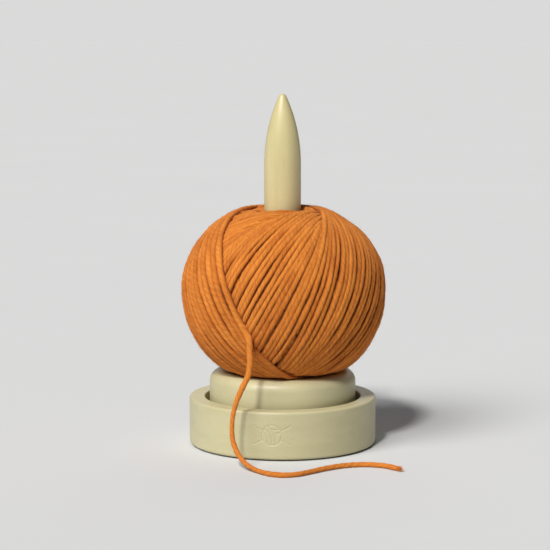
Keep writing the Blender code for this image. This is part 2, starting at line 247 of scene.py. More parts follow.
class Shader:
    """A material with a Principled BSDF, and short calls that add nodes to it and give their outputs.

    A socket is named with underscores, or numbered. Its source is another node's output or a value.
    """

    def __init__(self, name, **settings):
        self.material = bpy.data.materials.new(name)
        self.material.use_nodes = True
        self.tree = self.material.node_tree
        self.surface(**settings)

    def surface(self, **sources):
        self.join(self.tree.nodes["Principled BSDF"], sources)

    def join(self, node, sources):
        for name, source in sources.items():
            socket = node.inputs[name.replace("_", " ") if isinstance(name, str) else name]
            if isinstance(source, bpy.types.NodeSocket):
                self.tree.links.new(source, socket)
            else:
                socket.default_value = source

    def add(self, kind, output, sources, **settings):
        node = self.tree.nodes.new(f"ShaderNode{kind}")
        for setting, value in settings.items():
            setattr(node, setting, value)
        self.join(node, sources)
        return node.outputs[output]

    def object_space(self, scale=(1, 1, 1), turn=(0, 0, 0)):
        place_in_object = self.add("TexCoord", "Object", {})
        return self.add("Mapping", "Vector", dict(Vector=place_in_object, Rotation=turn, Scale=scale))

    def scaled(self, vector, scale):
        return self.add("VectorMath", "Vector", {0: vector, 1: scale}, operation="MULTIPLY")

    def attribute(self, name):
        return self.add("Attribute", "Fac", {}, attribute_name=name)

    def noise(self, vector, scale, detail=3.0, roughness=0.5, distortion=0.0):
        sources = dict(Vector=vector, Scale=scale, Detail=detail, Roughness=roughness, Distortion=distortion)
        return self.add("TexNoise", "Fac", sources)

    def span(self, value, low, high, to_low=0.0, to_high=1.0):
        sources = dict(Value=value, From_Min=low, From_Max=high, To_Min=to_low, To_Max=to_high)
        return self.add("MapRange", "Result", sources)

    def maths(self, operation, *values):
        return self.add("Math", "Value", dict(enumerate(values)), operation=operation)

    def bump(self, height, distance, strength, **under):
        sources = dict(Height=height, Distance=distance, Strength=strength, **under)
        return self.add("Bump", "Normal", sources)

    def mix(self, share, a, b):
        """A colour that goes from a to b as the share goes from 0 to 1."""
        return self.add("Mix", MIX_RESULT, {MIX_FACTOR: share, MIX_A: a, MIX_B: b}, data_type="RGBA")

    def faint(self, pattern, weight, base, over):
        """The base colour with another over it where the pattern is high, at most as strong as the weight."""
        return self.mix(self.maths("MULTIPLY", pattern, weight), base, over)


def wood_material(name, light, dark, turn, gloss):
    """Fine pale hardwood, its grain along X before the turn: soft bands, fibre streaks and dark flecks."""
    wood = Shader(name, Coat_Weight=gloss, Coat_Roughness=0.28, Specular_IOR_Level=0.4)
    along = wood.object_space(turn=turn)
    bands = wood.span(wood.noise(wood.scaled(along, (9, 70, 150)), 1.0, 2.0, 0.5, 0.6), 0.35, 0.65)
    streaks = wood.span(wood.noise(wood.scaled(along, (70, 1500, 1500)), 1.0, 3.0, 0.6), 0.3, 0.7)
    cloud = wood.span(wood.noise(along, 38.0, 2.0), 0.35, 0.65)
    flecks = wood.span(wood.noise(wood.scaled(along, (520, 3600, 3600)), 1.0, 1.0), 0.66, 0.74)

    warm_dark = (dark[0], dark[1] * 0.96, dark[2] * 0.9, 1)
    warm_light = (light[0] * 1.05, light[1], light[2] * 0.88, 1)
    deep = (dark[0] * 0.55, dark[1] * 0.46, dark[2] * 0.36, 1)
    colour = wood.faint(bands, 0.55, light, dark)
    colour = wood.faint(streaks, 0.22, colour, warm_dark)
    colour = wood.faint(cloud, 0.25, colour, warm_light)
    colour = wood.faint(flecks, 0.32, colour, deep)
    raised = wood.maths("MULTIPLY", streaks, 0.5)
    sunk = wood.maths("MULTIPLY", flecks, 0.8)
    grain = wood.bump(wood.maths("SUBTRACT", raised, sunk), 0.05 * MM, 0.6)
    wood.surface(Base_Color=colour, Roughness=wood.span(streaks, 0, 1, 0.42, 0.55), Normal=grain)
    return wood.material


def metal_material(name, colour, roughness, stretch):
    """Metal with fine machining marks, which run round the axis where stretch is small in X and Y."""
    metal = Shader(name, Metallic=1.0)
    along = metal.object_space(scale=stretch)
    marks = metal.span(metal.noise(along, 1.0, 4.0, 0.65), 0.3, 0.7)
    dull = tuple(c * 0.8 for c in colour[:3]) + (1,)
    metal.surface(
        Base_Color=metal.mix(marks, colour, dull),
        Roughness=metal.span(marks, 0, 1, roughness * 0.8, roughness * 1.3),
        Normal=metal.bump(marks, 0.01 * MM, 0.5),
    )
    return metal.material


def nylon_material():
    nylon = Shader("white_nylon", Subsurface_Weight=0.1, Subsurface_Scale=0.001)
    grain = nylon.noise(nylon.object_space(), 2600.0, 3.0)
    cloud = nylon.noise(nylon.object_space(), 120.0, 2.0)
    nylon.surface(
        Base_Color=nylon.mix(cloud, (0.80, 0.79, 0.72, 1), (0.88, 0.87, 0.81, 1)),
        Roughness=nylon.span(grain, 0.3, 0.7, 0.38, 0.52),
        Normal=nylon.bump(grain, 0.02 * MM, 0.5),
    )
    return nylon.material


def felt_material():
    felt = Shader("grey_felt", Roughness=0.97, Sheen_Weight=0.35, Sheen_Roughness=0.5)
    space = felt.object_space()
    fibres = felt.noise(space, 1700.0, 5.0, 0.7, 1.5)
    cloud = felt.noise(space, 420.0, 3.0)
    colour = felt.mix(felt.span(fibres, 0.35, 0.65), (0.10, 0.10, 0.095, 1), (0.26, 0.26, 0.25, 1))
    colour = felt.faint(cloud, 0.4, colour, (0.19, 0.18, 0.17, 1))
    felt.surface(Base_Color=colour, Normal=felt.bump(fibres, 0.25 * MM, 0.9))
    return felt.material


def yarn_material():
    """Softly spun wool of three plies, with painted shade between the plies and on the strands' flanks in the
    hollows between them. The mesh's UV map has the way round a strand and along it.
    """
    yarn = Shader("orange_wool", Roughness=0.9, Sheen_Weight=0.08, Sheen_Roughness=0.5,
                  Sheen_Tint=(1.0, 0.66, 0.4, 1), Specular_IOR_Level=0.2)
    strand = yarn.add("UVMap", "UV", {}, uv_map="strand")
    way_round = yarn.add("SeparateXYZ", "X", dict(Vector=strand))
    along = way_round.node.outputs["Y"]
    turn = yarn.maths("MULTIPLY", yarn.maths("SUBTRACT", way_round, along), tau)  # the way round from a ply
    x, y, z = yarn.maths("COSINE", turn), yarn.maths("SINE", turn), yarn.maths("MULTIPLY", along, 4.0)
    space = yarn.add("CombineXYZ", "Vector", dict(X=x, Y=y, Z=z))
    plies = yarn.maths("ABSOLUTE", yarn.maths("COSINE", yarn.maths("MULTIPLY", turn, PLIES / 2)))
    fibres = yarn.span(yarn.noise(yarn.scaled(space, (3.8, 3.8, 0.5)), 1.0, 4.0, 0.65), 0.3, 0.7)
    tufts = yarn.span(yarn.noise(yarn.scaled(space, (0.9, 0.9, 0.4)), 1.0, 2.0), 0.35, 0.65)
    tint = yarn.attribute("tint")
    colour = yarn.mix(tint, (0.58, 0.15, 0.016, 1), (0.89, 0.295, 0.042, 1))
    colour = yarn.faint(fibres, 0.32, colour, (0.55, 0.13, 0.013, 1))
    colour = yarn.faint(tufts, 0.32, colour, (0.92, 0.36, 0.066, 1))
    # painted shade: the colour darkens in the grooves between the plies
    groove = yarn.span(plies, 0.0, 0.5, 0.32, 0.0)
    colour = yarn.mix(groove, colour, (0.42, 0.09, 0.01, 1))
    # painted shade: flanks in the hollows between strands get a darker colour, more in some patches of the
    # ball than in others
    shade_patches = yarn.span(yarn.noise(yarn.object_space(), 42.0, 2.0), 0.38, 0.62, 0.5, 0.92)
    painted_shade = yarn.span(yarn.attribute("painted_shade"), 0.08, 0.8)
    colour = yarn.mix(yarn.maths("MULTIPLY", painted_shade, shade_patches), colour, (0.27, 0.05, 0.004, 1))
    ply_shape = yarn.bump(yarn.maths("POWER", plies, 0.6), 0.3 * MM, 0.45)
    hairs = yarn.span(yarn.noise(yarn.scaled(space, (9.0, 9.0, 1.6)), 1.0, 3.0, 0.7, 0.8), 0.3, 0.7)
    height = yarn.maths("ADD", fibres, yarn.maths("MULTIPLY", hairs, 0.7))
    height = yarn.maths("ADD", height, yarn.maths("MULTIPLY", tufts, 0.8))
    yarn.surface(Base_Color=colour, Normal=yarn.bump(height, 0.26 * MM, 0.9, Normal=ply_shape))
    return yarn.material


def fibre_material():
    """Single wool fibres, too thin for plies of their own."""
    fibre = Shader("orange_fibre", Roughness=0.85, Specular_IOR_Level=0.2)
    cloud = fibre.noise(fibre.object_space(), 900.0, 3.0)
    share = fibre.span(cloud, 0.35, 0.65)
    fibre.surface(Base_Color=fibre.mix(share, (0.6, 0.18, 0.028, 1), (0.8, 0.285, 0.05, 1)))
    return fibre.material


# Wood


MOTIF_ANGLE = 263.6  # degrees, a little left of the middle of the base's front
MOTIF_Z = 14.6 * MM
MOTIF_HALF_WIDTH = 13 * MM
MOTIF_HALF_HEIGHT = 10 * MM
MOTIF_DEPTH = 0.28 * MM
MOTIF_LINE = 0.42 * MM  # half a line's width
MOTIF_BALL = 5.6 * MM
MOTIF_LEFT_MIDDLE = (-7.4 * MM, -3.0 * MM)  # of the arcs at the ball's lower left
MOTIF_LEFT_ARCS = (5.2 * MM, 7.4 * MM, 9.6 * MM)
MOTIF_RIGHT_MIDDLE = (2.0 * MM, 7.6 * MM)  # and at its upper right
MOTIF_RIGHT_ARCS = (4.6 * MM, 6.6 * MM)
MOTIF_NEEDLE_SLOPE = 0.5
MOTIF_NEEDLE_REACH = 12.0 * MM
FINE_PART = (248, 280, 90)  # degrees from and to, and steps, where the base has the motif
COARSE_PART = (280, 608, 132)


def motif_depth(across, up):
    """How deep a small pressed picture of a ball of yarn on two needles is at a place."""
    from_middle = hypot(across, up)
    distances = [abs(from_middle - MOTIF_BALL)]
    if from_middle < MOTIF_BALL:
        left = hypot(across - MOTIF_LEFT_MIDDLE[0], up - MOTIF_LEFT_MIDDLE[1])
        right = hypot(across - MOTIF_RIGHT_MIDDLE[0], up - MOTIF_RIGHT_MIDDLE[1])
        distances += [abs(left - radius) for radius in MOTIF_LEFT_ARCS]
        if left > max(MOTIF_LEFT_ARCS):
            distances += [abs(right - radius) for radius in MOTIF_RIGHT_ARCS]
    if MOTIF_BALL + MOTIF_LINE < from_middle < MOTIF_NEEDLE_REACH:
        for slope in (MOTIF_NEEDLE_SLOPE, -MOTIF_NEEDLE_SLOPE):
            distances.append(abs(up - slope * across) / hypot(1, slope))
    share = max(0.0, 1 - min(distances) / MOTIF_LINE)
    return MOTIF_DEPTH * share * share * (3 - 2 * share)


def press_motif(angle, r, z):
    """How far the motif presses a point of the base in."""
    across = (angle - radians(MOTIF_ANGLE)) * BASE_RADIUS
    up = z - MOTIF_Z
    if r < BASE_RADIUS - GAP or abs(across) > MOTIF_HALF_WIDTH or abs(up) > MOTIF_HALF_HEIGHT:
        return 0.0
    return motif_depth(across, up)


def part_angles(first, last, steps):
    return [radians(first + (last - first) * i / steps) for i in range(steps)]


def pad_places():
    return around(PAD_COUNT, hypot(*((PAD_LOW + PAD_HIGH) / 2).xy), first=45)


def make_base(wood):
    rim_inner, rim_outer, foot, chamfer = 0.8 * MM, 1.3 * MM, 1.5 * MM, 0.3 * MM
    wall_top, wall_bottom = RIM_Z - rim_outer, BASE_BOTTOM_Z + foot
    rows = 60
    wall = [(BASE_RADIUS, wall_top + (wall_bottom - wall_top) * i / rows) for i in range(1, rows)]
    profile = [
        *arc((WELL_RADIUS + rim_inner, RIM_Z - rim_inner), rim_inner, 180, 90, 6),
        *arc((BASE_RADIUS - rim_outer, wall_top), rim_outer, 90, 0, 8),
        *wall,
        *arc((BASE_RADIUS - foot, wall_bottom), foot, 0, -90, 8),
        (COUNTERBORE_RADIUS + chamfer, BASE_BOTTOM_Z),
        (COUNTERBORE_RADIUS, BASE_BOTTOM_Z + chamfer),
        (COUNTERBORE_RADIUS, COUNTERBORE_Z),
        (BUSH_RADIUS + GAP, COUNTERBORE_Z),
        (BUSH_RADIUS + GAP, WELL_FLOOR_Z),
        *arc((WELL_RADIUS - WELL_FILLET, WELL_FLOOR_Z + WELL_FILLET), WELL_FILLET, -90, 0, 6),
    ]
    angles = part_angles(*FINE_PART) + part_angles(*COARSE_PART)
    base = turned("base_wood", profile, wood, angles=angles, press=press_motif)
    cut(base, pad_places(), PAD_RADIUS + GAP, -1 * MM, PAD_HIGH.z + GAP)
    base.data.shade_smooth()
    base.data.set_sharp_from_angle(angle=radians(SMOOTH_ANGLE))
    place(base, "base", "turned_wood", "base_housing")


def make_disc(wood):
    top_round, bottom_round, chamfer = 6.3 * MM, 1.2 * MM, 0.3 * MM
    flat_end = DISC_RADIUS - top_round - 4 * MM
    socket = TENON_RADIUS + GAP
    bore = BUSH_RADIUS + GAP
    bore_end = INSERT_HIGH.z + GAP
    profile = [
        (0, SOCKET_FLOOR_Z),
        (socket, SOCKET_FLOOR_Z),
        (socket, DISC_TOP_Z - chamfer),
        (socket + chamfer, DISC_TOP_Z),
        (flat_end, DISC_TOP_Z),
        *arc((DISC_RADIUS - top_round, DISC_TOP_Z - top_round), top_round, 90, 0, 16),
        *arc((DISC_RADIUS - bottom_round, DISC_LOW.z + bottom_round), bottom_round, 0, -90, 6),
        (bore, DISC_LOW.z),
        (bore, bore_end),
        (0, bore_end),
    ]
    disc = turned("turntable_wood", profile, wood, steps=160)
    place(disc, "turntable", "turned_wood", "turntable_disc")


def ogive_radius(z):
    """The spindle's radius at a height above the start of its pointed end."""
    bow = (SPINDLE_RADIUS**2 + OGIVE_LENGTH**2) / (2 * SPINDLE_RADIUS)
    return sqrt(bow**2 - (z - OGIVE_START_Z) ** 2) - (bow - SPINDLE_RADIUS)


def make_spindle(wood):
    tip_end, chamfer = 22, 0.6 * MM
    tip = arc((0, SPINDLE_HIGH.z - TIP_RADIUS), TIP_RADIUS, 90, tip_end, 8)
    tip[0] = (0, SPINDLE_HIGH.z)
    top = tip[-1][1] - 1.2 * MM
    rows = 40
    heights = [top + (OGIVE_START_Z - top) * i / rows for i in range(rows + 1)]
    shoulder_z = DISC_TOP_Z + GAP
    profile = [
        *tip,
        *[(ogive_radius(z), z) for z in heights],
        (SPINDLE_RADIUS, shoulder_z + chamfer),
        (SPINDLE_RADIUS - chamfer, shoulder_z),
        (TENON_RADIUS, shoulder_z),
        (TENON_RADIUS, SPINDLE_LOW.z + chamfer),
        (TENON_RADIUS - chamfer, SPINDLE_LOW.z),
        (0, SPINDLE_LOW.z),
    ]
    spindle = turned("spindle_wood", profile, wood, steps=96)
    place(spindle, "turntable", "spindle_wood", "spindle")


# Fittings


def make_pads(felt):
    thick = PAD_HIGH.z
    soft = 0.35 * MM
    profile = [
        (0, thick),
        *arc((PAD_RADIUS - soft, thick - soft), soft, 90, 0, 4),
        *arc((PAD_RADIUS - soft, soft), soft, 0, -90, 4),
        (0, 0),
    ]
    for number, (x, y) in enumerate(pad_places(), start=1):
        pad = turned(f"felt_pad_{number}", profile, felt, steps=64)
        pad.location = (x, y, 0)
        place(pad, "base", "grey_felt", f"foot_pad_{number}")


def chamfered(corners, soft):
    """A closed profile's square corners, each cut off."""
    points = []
    for (r, z), *others in zip(corners, corners[-1:] + corners, corners[1:] + corners):
        for r_to, z_to in others:
            points.append((r + soft * ((r_to > r) - (r_to < r)), z + soft * ((z_to > z) - (z_to < z))))
    return points


def ring_profile(inner, outer, low, high, soft):
    return chamfered([(inner, high), (outer, high), (outer, low), (inner, low)], soft)


def make_bolt(steel):
    head = BOLT_HIGH.x
    dome = 0.8 * MM
    profile = [
        (0, BOLT_HIGH.z),
        (BOLT_RADIUS - 0.5 * MM, BOLT_HIGH.z),
        (BOLT_RADIUS, BOLT_HIGH.z - 0.5 * MM),
        (BOLT_RADIUS, BOLT_HEAD_TOP_Z),
        (head - 0.15 * MM, BOLT_HEAD_TOP_Z),
        (head, BOLT_HEAD_TOP_Z - 0.15 * MM),
        *arc((head - dome, BOLT_LOW.z + dome), dome, 0, -90, 6),
        (0, BOLT_LOW.z),
    ]
    bolt = turned("pivot_bolt_steel", profile, steel, steps=64)
    cut(bolt, [(0, 0)], HEX_RADIUS, BOLT_LOW.z - 1 * MM, BOLT_LOW.z + HEX_DEPTH, sides=6)
    place(bolt, "turntable", "plated_steel", "pivot_bolt")


def turned_ring(piece, node, inner, soft, material, steps, press=None):
    """A ring that fills a CAD node's box, but for its chamfered edges."""
    low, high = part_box(node)
    profile = ring_profile(inner, high.x, low.z, high.z, soft)
    return turned(piece, profile, material, steps=steps, press=press)


def make_washer(nylon):
    washer = turned_ring("thrust_washer_nylon", "thrust_washer", PIVOT_BORE_RADIUS, 0.12 * MM, nylon, 64)
    place(washer, "turntable", "white_nylon", "thrust_washer")


def make_bush(brass):
    flange_top = COUNTERBORE_Z - GAP
    profile = chamfered([
        (PIVOT_BORE_RADIUS, BUSH_HIGH.z),
        (BUSH_RADIUS, BUSH_HIGH.z),
        (BUSH_RADIUS, flange_top),
        (BUSH_HIGH.x, flange_top),
        (BUSH_HIGH.x, BUSH_LOW.z),
        (PIVOT_BORE_RADIUS, BUSH_LOW.z),
    ], 0.2 * MM)
    profile[4:6] = [(BUSH_RADIUS, flange_top)]  # the inside corner stays square
    bush = turned("pivot_bush_brass", profile, brass, steps=64)
    place(bush, "base", "turned_brass", "pivot_bush")


def press_knurl(angle, r, z):
    """How far the knurl's grooves press a point of the insert in."""
    if r < INSERT_HIGH.x - 0.05 * MM:
        return 0.0
    return KNURL_HALF_DEPTH * (1 - cos(KNURL_COUNT * angle))


def make_insert(brass):
    insert = turned_ring("threaded_insert_brass", "threaded_insert", PIVOT_BORE_RADIUS, 0.3 * MM, brass,
                         6 * KNURL_COUNT, press_knurl)
    place(insert, "turntable", "turned_brass", "threaded_insert")


def make_race(node, facing, steel, body):
    """A bearing ring with its ball groove and three countersunk holes. It faces up at 1 and down at -1."""
    low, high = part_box(node)
    back, face = (low.z, high.z)[::facing]
    half = degrees(acos(abs(face - TRACK_Z) / GROOVE_RADIUS))
    groove = arc((TRACK_RADIUS, 0), GROOVE_RADIUS, -90 - half, -90 + half, 12)
    profile = ring_profile(RACE_INNER_RADIUS, high.x, back, face, 0.2 * MM)
    profile[2:2] = [(r, TRACK_Z + facing * z) for r, z in groove]
    race = turned(f"{node}_steel", profile[::facing], steel, steps=144)
    places = around(SCREW_COUNT, SCREW_CIRCLE_RADIUS, first=90)
    narrow = SCREW_RADIUS + GAP
    cut(race, places, narrow, low.z - 1 * MM, high.z + 1 * MM)
    slope = (SCREW_HEAD_RADIUS - SCREW_RADIUS) / SCREW_HEAD_HEIGHT
    sunk, past = SCREW_SINK + SCREW_HEAD_HEIGHT, 0.5 * MM  # below the face, and above it
    bottom, top = (narrow, narrow + slope * (sunk + past))[::facing]
    ends = sorted([face - facing * sunk, face + facing * past])
    cut(race, places, bottom, *ends, top_radius=top)
    place(race, body, "bearing_steel", node)


def make_steel_balls(steel):
    outline = arc((0, 0), STEEL_BALL_RADIUS, 90, -90, 20)
    mesh = None
    for number, (x, y) in enumerate(around(STEEL_BALL_COUNT, TRACK_RADIUS), start=1):
        name = f"steel_ball_{number:02}"
        ball = linked(name, mesh) if mesh else turned(name, outline, steel, steps=32)
        mesh = ball.data
        ball.location = (x, y, TRACK_Z)
        place(ball, "bearing_cage", "bearing_steel", f"bearing_ball_{number:02}")


def make_cage(nylon):
    cage = turned_ring("ball_cage_nylon", "ball_cage", CAGE_INNER_RADIUS, 0.2 * MM, nylon, 144)
    low, high = CAGE_LOW.z - 1 * MM, CAGE_HIGH.z + 1 * MM
    cut(cage, around(STEEL_BALL_COUNT, TRACK_RADIUS), STEEL_BALL_RADIUS + GAP, low, high)
    place(cage, "bearing_cage", "white_nylon", "ball_cage")


# Ball of yarn

WOUND_HALF_WIDTH = 1.66 * MM  # of a strand on the ball, which tension flattens
WOUND_HALF_THICK = 1.4 * MM
PER_TURN = 200  # points along each turn of the winding
TURN_STEP = 3.5  # degrees round the axis from each turn to the next
NEWEST_AZIMUTH = -30.5  # degrees, of the newest turn's lowest point
EXIT_SWING = 204.6  # degrees along the newest turn to where the loose strand leaves it
PROUD = 0.6 * MM  # by which the newest turns stand out of the ball's mean outline
LAYER = 1.6 * MM  # by which half a turn of the whole pattern makes the ball grow
DEEPEST = 2.4 * MM  # that a turn passes under the ones wound after it
TOP_LIFT = 1.3 * MM  # by which the turns heap up round the peg
OUTER_TURNS = 103
OUTER_LEAN = (25.5, 3.6)  # degrees from the axis to each turn's nearest point: their middle and swing
INNER_TURNS = 52
INNER_LEAN = (18.0, 2.3)
INNER_STEP = 360 / INNER_TURNS * 2.02  # degrees: about twice round the axis in all
INNER_AZIMUTH = 40
INNER_SHOWN = 33  # degrees from the axis, within which they show
NEWEST_SLACK = 1.32  # how much wider, and further apart, the newest turns are
SLACK_UNTIL = (9, 16)  # turns from the newest, between which that fades
UNEVEN_AT = (0, 3, 6, 24, 34)  # turns from the newest
UNEVEN_BY = (0.03, 0.17, 0.24, 0.24, 0.17)  # share of the step by which the turns wander there
LEAN_TURNS = 18.7  # turns in which the lean swings out and back
LEAN_START = 0.3
LEAN_WANDER = 0.55  # degrees
TOUCHING = 1.72 * WOUND_HALF_WIDTH  # between the middles of strands that touch
CROSSING_DEPTH = 1.6 * WOUND_HALF_THICK  # by which a strand passes under one that crosses it
BESIDE_SHARE = 0.12  # of that depth, where strands lie side by side
CROSSING_SINE = (0.16, 0.36)  # of the angle from which strands count as crossing, and over how much
DIVE_SLOPE = 0.32  # the steepest that a strand dives under another
TURNS_PER_PIECE = 40
SEED = 7
FUZZ_COUNT = 6000
FUZZ_LENGTH = (0.8 * MM, 3.2 * MM)
FUZZ_RADIUS = 0.028 * MM


def yarn_profile(angle):
    """Points (r, z from the ball's middle) of the ball's outline at angles from straight up, in radians."""
    across, up = np.sin(angle), np.cos(angle)
    height = np.where(up > 0, YARN_UPPER_HEIGHT, YARN_LOWER_HEIGHT)
    power = np.where(up > 0, YARN_UPPER_POWER, YARN_LOWER_POWER)
    curve = ((across / YARN_RADIUS) ** power + (np.abs(up) / height) ** power) ** (-1 / power)
    flat_height = np.where(up > 0, YARN_HIGH.z - YARN_WAIST_Z, YARN_WAIST_Z - YARN_LOW.z)
    flat = flat_height / np.maximum(np.abs(up), 1e-6)
    sharpness = 40.0
    reach = (curve**-sharpness + flat**-sharpness) ** (-1 / sharpness)
    return reach * across, reach * up


def on_ball(directions):
    """Points on the ball's outline in these directions from its middle, and the outline's normals there."""
    angle = np.arccos(np.clip(directions[:, 2], -1, 1))
    azimuth = np.arctan2(directions[:, 1], directions[:, 0])
    r, z = yarn_profile(angle)
    step = 0.004
    r_before, z_before = yarn_profile(angle - step)
    r_after, z_after = yarn_profile(angle + step)
    slope_r, slope_z = r_after - r_before, z_after - z_before
    length = np.hypot(slope_r, slope_z)
    normal_r, normal_z = -slope_z / length, slope_r / length
    points = np.stack([r * np.cos(azimuth), r * np.sin(azimuth), z], axis=1) + YARN_MIDDLE
    normals = np.stack([normal_r * np.cos(azimuth), normal_r * np.sin(azimuth), normal_z], axis=1)
    return points, normals


def averaged(values, width):
    """The values smoothed with a bell-shaped window of an odd width."""
    window = np.hanning(width + 2)[1:-1]
    padded = np.pad(values, width // 2, mode="edge")
    return np.convolve(padded, window / window.sum(), mode="valid")


def wander(rng, count, per_knot, amount):
    """Smooth random values, each about per_knot samples long."""
    knots = rng.normal(0, amount, count // per_knot + 4)
    values = np.interp(np.arange(count) / per_knot, np.arange(len(knots)), knots)
    return averaged(values, per_knot | 1)


def ramp(values, start, over):
    """From 0 at the start to 1 at so much over it."""
    return np.clip((values - start) / over, 0, 1)


def tangents_of(path):
    tangents = np.gradient(path, axis=0)
    return tangents / np.linalg.norm(tangents, axis=1)[:, None]


def wound_directions(turns, lean, step, first_azimuth, first_swing, rng, slack=1.0):
    """Directions from the ball's middle along a strand wound in tilted turns, newest end first."""
    count = int(turns * PER_TURN)
    past = np.arange(count) / PER_TURN
    swing = radians(first_swing) - tau * past
    turned_by = np.cumsum(np.broadcast_to(slack, count))
    azimuth = radians(first_azimuth) - radians(step) * turned_by / PER_TURN
    unevenness = np.interp(past, UNEVEN_AT, UNEVEN_BY)
    azimuth = azimuth + unevenness * wander(rng, count, int(0.8 * PER_TURN), radians(step))
    middle, sway = lean
    tilt = middle + sway * np.sin(tau * past / LEAN_TURNS + LEAN_START)
    tilt = np.radians(tilt + wander(rng, count, int(0.55 * PER_TURN), LEAN_WANDER))
    across, along, level = np.cos(azimuth), np.sin(azimuth), np.zeros(count)
    side = np.stack([-along, across, level], axis=1)
    top = np.stack([-across * np.sin(tilt), -along * np.sin(tilt), np.cos(tilt)], axis=1)
    return side * np.cos(swing)[:, None] + top * np.sin(swing)[:, None]


def sunk_under(points, rest):
    """How high each point of a winding lies, newest first, where it passes under what was wound after it.

    Strands that cross push the older one down by their thickness. Strands side by side only press together.
    """
    tree = KDTree(len(points))
    for index, point in enumerate(points):
        tree.insert(point, index)
    tree.balance()
    tangents = tangents_of(points)
    half_turn = PER_TURN // 2
    heights = rest.copy()
    for index in range(half_turn, len(points)):
        touching = tree.find_range(points[index], TOUCHING)
        near = [other for _, other, _ in touching if index - other >= half_turn]
        if not near:
            continue
        apart = points[index] - points[near]
        along = np.einsum("ij,ij->i", apart, tangents[near])
        beside = np.einsum("ij,ij->i", apart, apart) - along**2
        overlap = np.sqrt(np.clip(1 - beside / TOUCHING**2, 0, 1))
        crossing = np.sqrt(np.clip(1 - (tangents[near] @ tangents[index]) ** 2, 0, 1))
        press = ramp(crossing, *CROSSING_SINE)
        level = press * heights[near] + (1 - press) * rest[near]
        under = level - CROSSING_DEPTH * (BESIDE_SHARE + (1 - BESIDE_SHARE) * press) * overlap
        heights[index] = max(min(heights[index], under.min()), rest[index] - DEEPEST)
    return heights


def eased(heights, spacing):
    """The heights with dives no steeper than a strand makes, smoothed."""
    most = DIVE_SLOPE * spacing
    limited = heights.copy()
    for index in range(1, len(limited)):
        limited[index] = min(limited[index], limited[index - 1] + most)
    for index in range(len(limited) - 2, -1, -1):
        limited[index] = min(limited[index], limited[index + 1] + most)
    return averaged(limited, 7)


def runs_of(wanted, shortest=5):
    """Stretches (first, last) of the points that are wanted."""
    edges = np.flatnonzero(np.diff(np.concatenate([[0], wanted.astype(int), [0]])))
    return [(a, b) for a, b in zip(edges[::2], edges[1::2]) if b - a >= shortest]


def lengths_along(path):
    return np.concatenate([[0], np.cumsum(np.linalg.norm(np.diff(path, axis=0), axis=1))])


def section_axes(path, normals):
    """The directions across a path and up from it at each point, square to it."""
    tangents = tangents_of(path)
    across = np.cross(tangents, normals)
    across /= np.linalg.norm(across, axis=1)[:, None]
    return across, np.cross(across, tangents)


def give_values(mesh, name, values):
    """Gives each point of a mesh a value that its material reads."""
    attribute = mesh.attributes.new(name, "FLOAT", "POINT")
    attribute.data.foreach_set("value", values.astype(np.float32))


class Strands:
    """Tubes of yarn gathered into one mesh.

    Its UV map has the way round a strand, and the way along it in turns of its twist.
    """

    def __init__(self):
        self.points, self.faces, self.uvs, self.tint, self.painted_shade = [], [], [], [], []
        self.count = 0

    def add(self, path, across, up, length, half_width, half_thick, tint, sides=10, flank_shade=0.0):
        """A tube along a path, whose section's axes are across and up. Lengths are along the yarn.

        Its flanks can be given painted shade, as where they lie in the hollows between strands.
        """
        rows = len(path)
        twist = length / TWIST_PITCH
        angles = np.arange(sides) * tau / sides
        lobe = 1 + 0.05 * np.cos(2 * (angles[None, :] - tau * twist[:, None]))
        wide = np.broadcast_to(half_width, rows)[:, None] * np.cos(angles)[None, :] * lobe
        thick = np.broadcast_to(half_thick, rows)[:, None] * np.sin(angles)[None, :] * lobe
        rings = path[:, None, :] + across[:, None, :] * wide[:, :, None]
        rings = rings + up[:, None, :] * thick[:, :, None]
        ring = np.arange(rows * sides).reshape(rows, sides) + self.count
        after = np.roll(ring, -1, axis=1)
        quads = np.stack([ring[:-1], ring[1:], after[1:], after[:-1]], axis=-1).reshape(-1, 4)
        here = np.broadcast_to(np.arange(sides) / sides, (rows - 1, sides))
        low_twist = np.broadcast_to(twist[:-1, None], here.shape)
        high_twist = np.broadcast_to(twist[1:, None], here.shape)
        beyond = here + 1 / sides
        uvs = [here, low_twist, here, high_twist, beyond, high_twist, beyond, low_twist]
        self.points.append(rings.reshape(-1, 3))
        self.tint.append(np.repeat(np.broadcast_to(tint, rows), sides))
        # painted shade on the flanks and underside of the section, fading to none at its top
        self.painted_shade.append(np.tile(flank_shade * (1 - np.maximum(np.sin(angles), 0)), rows))
        self.faces += [*quads.tolist(), ring[0].tolist(), ring[-1][::-1].tolist()]
        caps = np.stack([np.tile(angles / tau, 2), np.repeat(twist[[0, -1]], sides)], axis=-1)
        self.uvs += [np.stack(uvs, axis=-1).reshape(-1, 2), caps]
        self.count += rows * sides
        return self

    def build(self, name, material):
        mesh = bpy.data.meshes.new(name)
        mesh.from_pydata(np.concatenate(self.points), [], self.faces)
        mesh.materials.append(material)
        mesh.shade_smooth()
        layer = mesh.uv_layers.new(name="strand")
        layer.data.foreach_set("uv", np.concatenate(self.uvs).astype(np.float32).ravel())
        give_values(mesh, "tint", np.concatenate(self.tint))
        give_values(mesh, "painted_shade", np.concatenate(self.painted_shade))
        return linked(name, mesh)


def resting_heights(directions, past, is_inner, rng):
    """How high each point of the winding lies on the ball where nothing passes over it."""
    outer_rest = PROUD - WOUND_HALF_THICK - LAYER * past * TURN_STEP / 180
    inner_rest = PROUD * 0.3 - WOUND_HALF_THICK
    near_top = ramp(directions[:, 2], 0.9, 0.04)
    rest = np.where(is_inner, near_top * inner_rest + (1 - near_top) * outer_rest, outer_rest)
    return rest + wander(rng, len(directions), PER_TURN // 2, 0.26 * MM)


